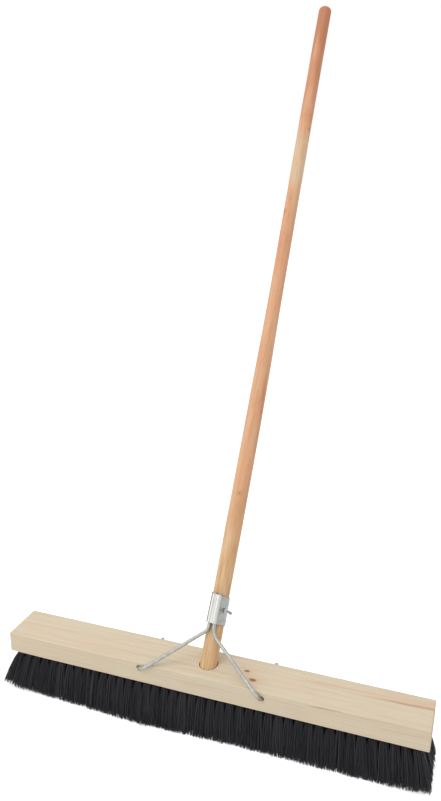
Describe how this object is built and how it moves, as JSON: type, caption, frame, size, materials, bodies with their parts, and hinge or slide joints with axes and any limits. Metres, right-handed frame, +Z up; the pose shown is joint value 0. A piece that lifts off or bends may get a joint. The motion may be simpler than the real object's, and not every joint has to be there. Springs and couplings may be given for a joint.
{
  "type": "push broom",
  "caption": "Wooden push broom: a rectangular block with rows of black bristle, a slanted round handle, wire braces and a bolted sheet-metal clamp sleeve.",
  "frame": {"origin": "on the sweeping plane at the bristle tips, below the middle of the block", "axes": "+X along the block, +Y the way the handle leans, +Z up"},
  "size_m": [0.6248, 0.6219, 1.0037],
  "materials": {
    "pine": "planed bare pine, satin",
    "stick_wood": "turned reddish wood, satin",
    "galvanised_rod": "dull zinc",
    "galvanised_sheet": "bright zinc sheet",
    "bolt_steel": "plated steel",
    "black_bristle": "black fibre, slight sheen"
  },
  "bodies": {
    "broom": {"broom_block": "pine", "handle": "stick_wood", "left_brace_rod": "galvanised_rod", "right_brace_rod": "galvanised_rod", "clamp_sleeve": "galvanised_sheet", "clamp_bolt": "bolt_steel", "bristle_row_1": "black_bristle", "bristle_row_2": "black_bristle", "bristle_row_3": "black_bristle", "bristle_row_4": "black_bristle", "bristle_row_5": "black_bristle"},
    "nut": {"clamp_nut": "bolt_steel"}
  },
  "joints": [
    {"name": "nut_turn", "type": "hinge", "parent": "broom", "child": "nut", "pos_m": [0, 0.04112, 0.15484], "axis": [0.8488, -0.5059, 0.1536], "continuous": true}
  ]
}
